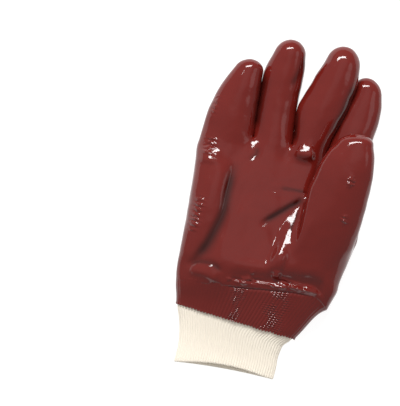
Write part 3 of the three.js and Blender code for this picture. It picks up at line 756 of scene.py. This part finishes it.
def palm_level(places):
    """The height of the palm's plain form, and its share at each place."""
    x, y = places.T
    heel = np.clip((FLANK_TOP - y) / FLANK_LENGTH, 0, 1.15)
    crest = CREST + CREST_LEAN * np.clip(y, -20, FLANK_TOP)
    flank = ease(x, crest - FLANK_WIDTH, crest) * ease(y, -36, -12)
    rolling = np.array([noise.noise(Vector((a, b, 0)) / ROLL_LENGTH) for a, b in places])
    webs = sum(np.exp(-(((x - place) / WEB_WIDTH) ** 2)) for place in WEB_PLACES)
    level = PALM_HEIGHT - PALM_SLOPE * (y - HEEL_PLACE) + FLANK_RISE * heel * flank
    level += ROLLING * rolling * (1 - ease(x, 4, 12)) * (1 - ease(y, 30, 45))
    level -= WEB_SLOPE * np.maximum(y - WEB_START, 0) * webs
    left = -35 - 6 * ease(y, 33, 43)
    share = ease(x, left, left + 13) * (1 - ease(x, 21.5, 27)) * ease(y, -40, -22)
    return level, share * (1 - ease(y, 52, 68))


# Above the seam the coat rises gently for a few millimetres, and then faster to the ball.
SEAM_LEVEL = table(
    "x height",
    (-20, 32.0),
    (0, 31.0),
    (20, 31.0),
    (40, 29.4),
    (55, 26.5),
    (63, 20.0),
)
SEAM_RISE = 0.2
BALL_RISE = 0.37  # added to it from BALL_START above the seam
BALL_START = 4.0


def seam_level(places):
    """The height of the coat's plain form just above the seam, and its share at each place."""
    x, y = places.T
    seam = SEAM_HEIGHT + seam_skew(x + PALM_MIDDLE[0], SEAM_HEIGHT / PALM_LENGTH)
    above = y + PALM_MIDDLE[1] - seam
    level = np.interp(x, SEAM_LEVEL["x"], SEAM_LEVEL["height"]) + SEAM_RISE * above
    level += BALL_RISE * np.maximum(above - BALL_START, 0)
    share = ease(x, -20, -8) * (1 - ease(x, 54, 62)) * (1 - ease(above, 6, 22))
    return level, share * ease(above, 1.5, 4.5)


MOST_MOVED = 7.0
DENTS = 0.32  # the skin's own slight unevenness, height and length
DENT_LENGTH = 9.0


def relief(points, normals, thumb):
    """How far each point of the hand stands out from its plain form."""
    places = points[:, :2] - PALM_MIDDLE
    facing = ease(normals[:, 2], 0.0, 0.5)
    made = np.zeros(len(points))
    for level, share in (palm_level(places), seam_level(places)):
        share *= facing * (1 - ease(thumb, 0.05, 0.4))
        made += share * np.clip(level - points[:, 2] - made, -MOST_MOVED, MOST_MOVED)
    for creases, share in (CREASES, 1 - ease(thumb, 0.1, 0.6)), (THUMB_CREASES, thumb):
        for line, height, left, right in creases:
            made += crease_height(places, line, height, left, right) * share * facing
    dents = np.array([noise.noise(Vector(point) / DENT_LENGTH) for point in points])
    return made + DENTS * dents


def linked(name, data):
    """A new object in the scene."""
    made = bpy.data.objects.new(name, data)
    bpy.context.scene.collection.objects.link(made)
    return made


def surface(skin, levels):
    """The skin drawn smooth, with its creases: points, faces, outward directions and looks."""
    mesh = bpy.data.meshes.new("net")
    mesh.from_pydata([tuple(point) for point in skin.points], [], skin.faces)
    mesh.attributes.new("thumb", "FLOAT", "POINT").data.foreach_set("value", skin.thumb)
    net = linked("net", mesh)
    smoother = net.modifiers.new("smoother", "SUBSURF")
    smoother.levels = levels
    smoother.render_levels = levels
    smoother.boundary_smooth = "ALL"
    drawn = bpy.data.meshes.new_from_object(
        net.evaluated_get(bpy.context.evaluated_depsgraph_get())
    )
    bpy.data.objects.remove(net)
    bpy.data.meshes.remove(mesh)

    def read(owner, name, width):
        values = np.empty(len(owner) * width)
        owner.foreach_get(name, values)
        return values.reshape(-1, width) if width > 1 else values

    points = read(drawn.vertices, "co", 3)
    normals = read(drawn.vertex_normals, "vector", 3)
    thumb = read(drawn.attributes["thumb"].data, "value", 1)
    points += normals * relief(points, normals, thumb)[:, None]
    points[:, 2] = np.maximum(points[:, 2], 0)
    drawn.vertices.foreach_set("co", points.ravel())
    drawn.update()
    normals = read(drawn.vertex_normals, "vector", 3)
    faces = [tuple(polygon.vertices) for polygon in drawn.polygons]
    bpy.data.meshes.remove(drawn)
    # The first look is painted shade in the folds and the finger gaps, kept off the thumb; the
    # second marks the crinkles.
    looks = share_along(PAINTED_FOLD_SHADE, points) * (1 - thumb), share_along(CRINKLED, points)
    return points, faces, normals, looks


def open_ring(points, faces):
    """The points round a surface's one open end, in order round the hand."""
    seen = {}
    for face in faces:
        for a, b in zip(face, face[1:] + face[:1]):
            seen[frozenset((a, b))] = (a, b) if frozenset((a, b)) not in seen else None
    after = dict(pair for pair in seen.values() if pair)
    ring = [min(after, key=lambda point: tuple(points[point]))]
    while after[ring[-1]] != ring[0]:
        ring.append(after[ring[-1]])
    return ring


def hollow_wall(skin):
    """The finely drawn coat outside, the liner half as fine inside, and the rim that joins them."""
    outside, outer_faces, _, looks = surface(skin, 2)
    lined, inner_faces, normals, _ = surface(skin, 1)
    inside = lined - normals * COAT_WALL
    inside[:, 2] = np.maximum(inside[:, 2], COAT_WALL)
    count = len(outside)
    outer_rim = open_ring(outside, outer_faces)
    inner_rim = open_ring(inside, inner_faces)
    inner_rim = [point + count for point in inner_rim]
    faces = list(outer_faces)
    faces += [tuple(point + count for point in reversed(face)) for face in inner_faces]
    size = len(inner_rim)
    for k in range(size):
        a, b, c = (outer_rim[(2 * k + step) % (2 * size)] for step in (0, 1, 2))
        here, beside = inner_rim[k], inner_rim[(k + 1) % size]
        faces.append((b, a, here))
        faces.append((c, b, here, beside))
    looks = [np.append(values, np.zeros(len(inside))) for values in looks]
    return np.vstack([outside, inside]), faces, len(outer_faces), looks


def placed(name, points, faces):
    """A piece of the glove, moved from millimetres on the hand to its place in the frame."""
    mesh = bpy.data.meshes.new(name)
    mesh.from_pydata(((points + shift) * 0.001).tolist(), [], faces)
    mesh.polygons.foreach_set("use_smooth", [True] * len(faces))
    return linked(name, mesh)


def linear(code):
    """An sRGB hex colour as the linear colour that a shader takes."""
    parts = [int(code[i : i + 2], 16) / 255 for i in (1, 3, 5)]
    return [p / 12.92 if p <= 0.04045 else ((p + 0.055) / 1.055) ** 2.4 for p in parts] + [1.0]


def add_node(material, kind, settings=None, **inputs):
    """Adds a node with its settings, and sets or links inputs by name, _ for a space, or number."""
    node = material.node_tree.nodes.new(kind)
    for key, value in (settings or {}).items():
        setattr(node, key, value)
    for key, value in inputs.items():
        numbered = key.startswith("in_")
        socket = node.inputs[int(key[3:]) if numbered else key.replace("_", " ")]
        if isinstance(value, bpy.types.NodeSocket):
            material.node_tree.links.new(value, socket)
        else:
            socket.default_value = value
    return node


def new_material(name):
    """A material still without nodes, but for the place on its object that patterns go by."""
    material = bpy.data.materials.new(name)
    material.use_nodes = True
    material.node_tree.nodes.clear()
    return material, add_node(material, "ShaderNodeTexCoord").outputs["Object"]


coat_low, coat_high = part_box("coated_hand")
hand_points, hand_faces, coat_count, hand_looks = hollow_wall(hand_skin())
low, high = hand_points.min(0), hand_points.max(0)
shift = np.array([coat_low[0] * 1000 - low[0], coat_high[1] * 1000 - high[1], 0.0])
hand = placed("pvc_coated_hand", hand_points, hand_faces)
# The "deep" attribute carries the painted shade of the folds and finger gaps; "crinkled" carries
# where the wrinkle bump goes.
for name, values in zip(("deep", "crinkled"), hand_looks):
    hand.data.attributes.new(name, "FLOAT", "POINT").data.foreach_set("value", values)

# Plasticised PVC, dipped and fused in an oven: a smooth, wet-looking skin with sharp highlights.
# Its red is a little uneven where the dip ran thicker, and painted darker as shade in its folds
# and in the gaps beside the fingers. It is faintly wavy all over, and puckered in short wrinkles
# where the cloth under it is gathered.
PVC_RED = "#6a1b15"
# Painted shade: the near-black red painted into the folds and the gaps between the fingers.
PVC_DEEP = "#611611"
PAINTED_SHADE_RED = "#1c0806"
CLOUD = 22.22  # mm across a patch of uneven red
WAVE = 3.846  # mm from one faint wave to the next
CRINKLE = 4.0  # mm from one short wrinkle to the next
pvc, pvc_place = new_material("dipped_pvc")
cloudy = add_node(
    pvc, "ShaderNodeTexNoise", Vector=pvc_place, Scale=1000 / CLOUD, Detail=3.0,
)
red = add_node(
    pvc, "ShaderNodeMix", {"data_type": "RGBA"},
    in_0=cloudy.outputs["Fac"], in_6=linear(PVC_DEEP), in_7=linear(PVC_RED),
)
# Painted shade: this attribute darkens the red towards near black in the folds and the gaps between
# the fingers.
painted_shade_share = add_node(pvc, "ShaderNodeAttribute", {"attribute_name": "deep"})
with_painted_shade = add_node(
    pvc, "ShaderNodeMix", {"data_type": "RGBA"},
    in_0=painted_shade_share.outputs["Fac"], in_6=red.outputs[2], in_7=linear(PAINTED_SHADE_RED),
)
unevenness = add_node(
    pvc, "ShaderNodeTexNoise", Vector=pvc_place, Scale=1000 / WAVE, Detail=2.0,
)
waves = add_node(
    pvc, "ShaderNodeBump", Strength=0.25, Distance=0.0004, Height=unevenness.outputs["Fac"],
)
crinkled = add_node(pvc, "ShaderNodeAttribute", {"attribute_name": "crinkled"})
short_waves = add_node(
    pvc, "ShaderNodeTexWave", {"bands_direction": "Y"},
    Vector=pvc_place, Scale=1000 * math.pi / (10 * CRINKLE),
    Distortion=3.0, Detail=2.0, Detail_Scale=2.5,
)
puckers = add_node(
    pvc, "ShaderNodeMath", {"operation": "MULTIPLY"},
    in_0=short_waves.outputs["Fac"], in_1=crinkled.outputs["Fac"],
)
puckered = add_node(
    pvc, "ShaderNodeBump", Strength=1.0, Distance=0.0009, Height=puckers.outputs[0],
    Normal=waves.outputs["Normal"],
)
gloss = add_node(
    pvc, "ShaderNodeBsdfPrincipled",
    Base_Color=with_painted_shade.outputs[2], Roughness=0.09, IOR=1.46, Normal=puckered.outputs["Normal"],
)
add_node(pvc, "ShaderNodeOutputMaterial", Surface=gloss.outputs["BSDF"])
hand.data.materials.append(pvc)

# Cotton jersey, bleached off-white, stained a little by the dip: matt and finely looped. It
# lines the inside of the coat.
LINER_CREAM = "#d9c9b4"
LINER_LOOP = 0.9  # mm across a loop of the jersey
liner, liner_place = new_material("cotton_jersey")
liner_loops = add_node(
    liner, "ShaderNodeTexNoise", Vector=liner_place, Scale=1000 / LINER_LOOP, Detail=2.0,
)
looped = add_node(
    liner, "ShaderNodeBump", Strength=0.5, Distance=0.0003, Height=liner_loops.outputs["Fac"],
)
jersey = add_node(
    liner, "ShaderNodeBsdfPrincipled",
    Base_Color=linear(LINER_CREAM), Roughness=0.95, Normal=looped.outputs["Normal"],
)
add_node(liner, "ShaderNodeOutputMaterial", Surface=jersey.outputs["BSDF"])
hand.data.materials.append(liner)
inside_faces = np.arange(len(hand_faces)) >= coat_count
hand.data.polygons.foreach_set("material_index", inside_faces.astype(np.int32))
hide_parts("coated_hand")
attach(hand, "root")

# The coated ribs: the top of the knitted wrist below the seam, dipped with the hand, so that
# the PVC lies in its ribs and, here and there, shows its loops. It is the same PVC, and ends in
# a fine toothed edge where the dip stopped.
RIBS = 84  # ribs round the wrist
COLUMNS = 6 * RIBS
COATED_ROWS = 88
COATED_TOP = SEAM_HEIGHT + 1.5  # it goes on a little way under the rolled edge
RIB_DEPTH = 0.45  # where the coat shows the ribs best
LOOP_HEIGHT = 1.35  # one row of knitted loops, drawn coarser than the real 0.9 mm
LOOP_RELIEF = 0.8
WET_PATCHES = [(-2, 5), (30, 10)]  # where the loops show through: place across the hand, width
GROOVE_DEPTH = 1.0  # the shadow line under the rolled edge
TOOTH_LENGTH = 1.0
TOOTH_UNEVEN = 0.5


def rib_height(count=COLUMNS):
    """The rounded top of each rib and the narrow groove beside it, from 0 to 1."""
    share = (np.arange(count) * RIBS / count) % 1
    return np.abs(np.sin(math.pi * share)) ** 0.7


def ring_grid(rings, inner_rings):
    """A hollow tube from the rings of its outside and of its inside, none below the table."""
    columns = len(rings[0])
    order = list(rings[::-1]) + list(inner_rings)
    points = np.vstack(order)
    points[:, 2] = np.maximum(points[:, 2], 0)
    faces = []
    for row in range(len(order)):
        here, after = row * columns, (row + 1) % len(order) * columns
        for k in range(columns):
            beside = (k + 1) % columns
            faces.append((here + beside, here + k, after + k, after + beside))
    return points, faces


def outward(rings):
    """The outward direction at each point of a stack of rings."""
    stack = np.array(rings)
    round_it = np.roll(stack, -1, 1) - np.roll(stack, 1, 1)
    up_it = np.gradient(stack, axis=0)
    made = np.cross(up_it, round_it)
    return -made / np.linalg.norm(made, axis=2)[:, :, None]


row_heights = np.linspace(0, COATED_TOP, COATED_ROWS)
skirt_form = np.array([palm_ring(high / PALM_LENGTH, 0.0, COLUMNS) for high in row_heights])
skirt_out = outward(skirt_form)
side = skirt_form[:, :, 0] - PALM_MIDDLE[0]
showing = 0.35 + 0.65 * ease(side, -24, -8) * (1 - 0.85 * ease(side, 26, 40))
ribs = rib_height()[None, :]
loops = np.cos(2 * math.pi * row_heights / LOOP_HEIGHT)[:, None]
patches = np.array([[noise.noise(Vector(spot) / 7) for spot in ring[::6]] for ring in skirt_form])
wet = sum(np.exp(-(((side - place) / wide) ** 2)) for place, wide in WET_PATCHES)
wet = wet * ease(np.repeat(patches, 6, axis=1), -0.3, 0.2)
under_seam = ease(row_heights, SEAM_HEIGHT - 4.2, SEAM_HEIGHT - 1.4)[:, None]
under_seam = under_seam * ease(side, -14, -4) * (1 - ease(side, 44, 52))
raised = RIB_DEPTH * showing * (ribs - 1) + LOOP_RELIEF * wet * showing * loops * ribs
raised = raised - GROOVE_DEPTH * under_seam
coated = skirt_form + skirt_out * raised[:, :, None]

# The coat's lower edge hangs in a tooth from each rib, and turns in to the wall's inner side.
turns = np.linspace(0, 2 * math.pi, COLUMNS, endpoint=False)
uneven = [noise.noise(Vector((math.cos(turn) * 6, math.sin(turn) * 6, 3.0))) for turn in turns]
teeth = TOOTH_LENGTH * rib_height() + TOOTH_UNEVEN * np.array(uneven)
fall = (1 - ease(np.arange(COATED_ROWS), 0, 4))[:, None]
coated[:, :, 1] -= fall * teeth[None, :]
skirt_inner = [
    skirt_form[i] - skirt_out[i] * COAT_WALL
    for i in np.linspace(0, COATED_ROWS - 1, 6).astype(int)
]
skirt_inner[0] = coated[0] - skirt_out[0] * 1.2
skirt_points, skirt_faces = ring_grid(list(coated), skirt_inner)
skirt = placed("coated_ribs", skirt_points, skirt_faces)
skirt.data.materials.append(pvc)
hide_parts("coated_hand")
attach(skirt, "root")

# The knitted wrist: a tube of cream cotton and polyester yarn in a stretchy rib, bare below
# the coat. Its mouth is the knitted start edge, doubled and a little drawn in.
CUFF_LENGTH = 40.0
CUFF_WIDTH = 78.0
CUFF_THICKNESS = 13.0
CUFF_SHIFT = 2.5
MOUTH_SKEW = 4.5
FRONT_LIFT = 4.5
BACK_LIFT = 1.2
KNIT_WALL = 1.8
KNIT_RIB = 0.5  # depth of the groove between two ribs
INNER_RIB = 0.3
FIT = 0.35  # between the knitting and the coat over it
KNIT_ROW = 0.62  # between two rows of points down the knitting
# How far the cuff's left and right sides and its thickness have gone from the coat's edge to
# the mouth's own measure.
CUFF = table(
    "down left right flat",
    (0.00, 0.00, 0.00, 0.00),
    (0.08, 0.05, 0.35, 0.12),
    (0.20, 0.28, 1.05, 0.32),
    (0.36, 0.55, 1.22, 0.55),
    (0.50, 0.74, 1.25, 0.72),
    (0.72, 0.94, 1.05, 0.90),
    (1.00, 1.00, 1.00, 1.00),
)


def cuff_ring(down, count=COLUMNS):
    """The knitting's section at a share of the way from the coat's edge to its mouth."""
    tuck = COAT_WALL + FIT
    flat = along(CUFF, "flat", down)
    half_wrist = WRIST_WIDTH / 2 - tuck
    mouth_middle = WRIST_SHIFT + CUFF_SHIFT
    left = mix(WRIST_SHIFT - half_wrist, mouth_middle - CUFF_WIDTH / 2, along(CUFF, "left", down))
    right = mix(WRIST_SHIFT + half_wrist, mouth_middle + CUFF_WIDTH / 2, along(CUFF, "right", down))
    thickness = mix(WRIST_THICKNESS - 2 * tuck, CUFF_THICKNESS, flat)
    low = tuck * (1 - flat)
    across, high = oval_steps((right - left) / 2, thickness / 2, count)
    lift = np.where(high > 0, FRONT_LIFT, BACK_LIFT)
    mouth = MOUTH_SKEW * across + lift * np.abs(high) * (1 - across**2)
    x = mix(left, right, (1 + across) / 2)
    y = -down * CUFF_LENGTH + down * down * mouth
    return np.stack([x, y, low + thickness / 2 * (1 + high)], 1)


downs = np.linspace(1, 0, int(CUFF_LENGTH / KNIT_ROW))
bare = [cuff_ring(down) for down in downs]
tucked_ups = np.linspace(0, SEAM_HEIGHT / PALM_LENGTH, 14)[1:]
tucked = np.array([palm_ring(up, 0.0, COLUMNS) for up in tucked_ups])
tucked = tucked - outward(tucked) * (COAT_WALL + FIT)
knit_form = np.array(bare + list(tucked))
knit_out = outward(knit_form)
from_mouth = np.clip(np.arange(len(knit_form)) / 3, 0, 1)
round_mouth = np.sqrt(1 - (1 - from_mouth) ** 2) - 1
knit_raised = KNIT_RIB * (rib_height()[None, :] - 1 + round_mouth[:, None])
knit = knit_form + knit_out * knit_raised[:, :, None]
knit_inner = [
    knit_form[i] - knit_out[i] * (KNIT_WALL + INNER_RIB * rib_height()[:, None])
    for i in np.linspace(0, len(knit_form) - 1, 24).astype(int)
]
knit_inner[0] = knit_inner[0] + knit_out[0] * 0.5
knit_points, knit_faces = ring_grid(list(knit), knit_inner)
wrist = placed("rib_knit_wrist", knit_points, knit_faces)

# Soft spun cotton and polyester yarn, undyed and rib-knitted: matt, with an uneven cream tone
# and a nap that catches a little light at its edges.
YARN_SHADE = "#f0e4cf"
YARN_CREAM = "#fef6e9"
YARN = 0.3  # mm across
cream, knit_place = new_material("undyed_rib_knit")
yarn = add_node(
    cream, "ShaderNodeTexNoise", Vector=knit_place, Scale=1000 / YARN, Detail=4.0,
)
tone = add_node(
    cream, "ShaderNodeMix", {"data_type": "RGBA"},
    in_0=yarn.outputs["Fac"], in_6=linear(YARN_SHADE), in_7=linear(YARN_CREAM),
)
fuzz = add_node(
    cream, "ShaderNodeBump", Strength=0.6, Distance=0.0003, Height=yarn.outputs["Fac"],
)
soft_yarn = add_node(
    cream, "ShaderNodeBsdfPrincipled",
    Base_Color=tone.outputs[2], Roughness=0.92, Sheen_Weight=0.2, Normal=fuzz.outputs["Normal"],
)
add_node(cream, "ShaderNodeOutputMaterial", Surface=soft_yarn.outputs["BSDF"])
wrist.data.materials.append(cream)
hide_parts("knit_wrist")
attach(wrist, "root")

# The table: a sheet of opal acrylic lit from below, which leaves hardly any shadow. It lies a
# little under the glove, so that the two don't touch. Its white is even and faintly cloudy.
OPAL_SHADE = "#868685"
OPAL_WHITE = "#8c8c8c"
OPAL_CLOUD = 150.0  # mm across a cloud
floor_mesh = bpy.data.meshes.new("table")
floor_mesh.from_pydata([(-3, -3, 0), (3, -3, 0), (3, 3, 0), (-3, 3, 0)], [], [(0, 1, 2, 3)])
floor = linked("table", floor_mesh)
floor.location.z = -0.0004
board, board_place = new_material("lit_opal_acrylic")
opal = add_node(board, "ShaderNodeTexNoise", Vector=board_place, Scale=1000 / OPAL_CLOUD)
pale = add_node(
    board, "ShaderNodeMix", {"data_type": "RGBA"},
    in_0=opal.outputs["Fac"], in_6=linear(OPAL_SHADE), in_7=linear(OPAL_WHITE),
)
lit_sheet = add_node(
    board, "ShaderNodeBsdfPrincipled", Base_Color=pale.outputs[2], Roughness=0.9,
    Emission_Color=linear("#ffffff"), Emission_Strength=0.89,
)
add_node(board, "ShaderNodeOutputMaterial", Surface=lit_sheet.outputs["BSDF"])
floor_mesh.materials.append(board)

# The light: one long softbox beyond the fingertips, whose reflections are the glove's sharp
# highlights.
LEAN = math.radians(17)  # the picture is turned by this from the hand's own line
UP_PICTURE = Vector((-math.sin(LEAN), math.cos(LEAN), 0))
RIGHT_PICTURE = Vector((math.cos(LEAN), math.sin(LEAN), 0))
KEY_ACROSS, KEY_UP = math.radians(-4), math.radians(40)  # from overhead, seen from the glove
KEY_DISTANCE = 1.4
KEY_SIZE = (1.0, 0.24)
KEY_RADIANCE = 28.0
key_place = RIGHT_PICTURE * math.tan(KEY_ACROSS) + UP_PICTURE * math.tan(KEY_UP)
key_direction = (key_place + Vector((0, 0, 1))).normalized()
key_light = bpy.data.lights.new("key_softbox", "AREA")
key_light.shape = "RECTANGLE"
key_light.size, key_light.size_y = KEY_SIZE
key_light.energy = KEY_RADIANCE * math.pi * KEY_SIZE[0] * KEY_SIZE[1]
key = linked("key_softbox", key_light)
key.location = key_direction * KEY_DISTANCE
key.rotation_euler = key_direction.to_track_quat("Z", "Y").to_euler()

# The room: pale all round, a little brighter at the ceiling, at the left wall and at a window
# on the right. It is the glove's soft reflections and fills its shadows.
ROOM_LIGHT = 0.4
world = bpy.data.worlds.new("room")
world.use_nodes = True
world.node_tree.nodes.clear()
direction = add_node(world, "ShaderNodeTexCoord")


def glow(towards, inner, outer, radiance):
    """A round soft patch of light about a direction, its edges at two angles in degrees."""
    facing = add_node(
        world, "ShaderNodeVectorMath", {"operation": "DOT_PRODUCT"},
        in_0=direction.outputs["Generated"], in_1=Vector(towards).normalized(),
    )
    return add_node(
        world, "ShaderNodeMapRange", {"interpolation_type": "SMOOTHSTEP"},
        in_0=facing.outputs["Value"], in_1=math.cos(math.radians(outer)),
        in_2=math.cos(math.radians(inner)), in_3=0.0, in_4=radiance,
    ).outputs[0]


ceiling = glow((0.04, 0.2, 1.0), 1, 24, 0.22)
left_wall = glow((-0.8, 0.5, 1.0), 15, 70, 0.15)
window = glow((0.95, 0.3, 1.0), 8, 15, 0.8)
light = ROOM_LIGHT
for patch in (ceiling, left_wall, window):
    brighter = add_node(world, "ShaderNodeMath", {"operation": "ADD"}, in_0=patch, in_1=light)
    light = brighter.outputs[0]
room = add_node(world, "ShaderNodeBackground", Color=(1, 1, 1, 1), Strength=light)
add_node(world, "ShaderNodeOutputWorld", Surface=room.outputs["Background"])
bpy.context.scene.world = world
bpy.context.scene.view_settings.view_transform = "Standard"
bpy.context.scene.view_settings.look = "None"

# The camera looks straight down from two metres, turned with the picture.
camera_data = bpy.data.cameras.new("camera")
camera_data.sensor_fit = "VERTICAL"
camera_data.sensor_height = 36.0
camera_data.lens = 230.0
camera_data.clip_end = 10.0
camera = linked("camera", camera_data)
camera.location = (-0.0539, -0.0128, 2.025)
camera.rotation_euler = (0, 0, LEAN)
bpy.context.scene.camera = camera
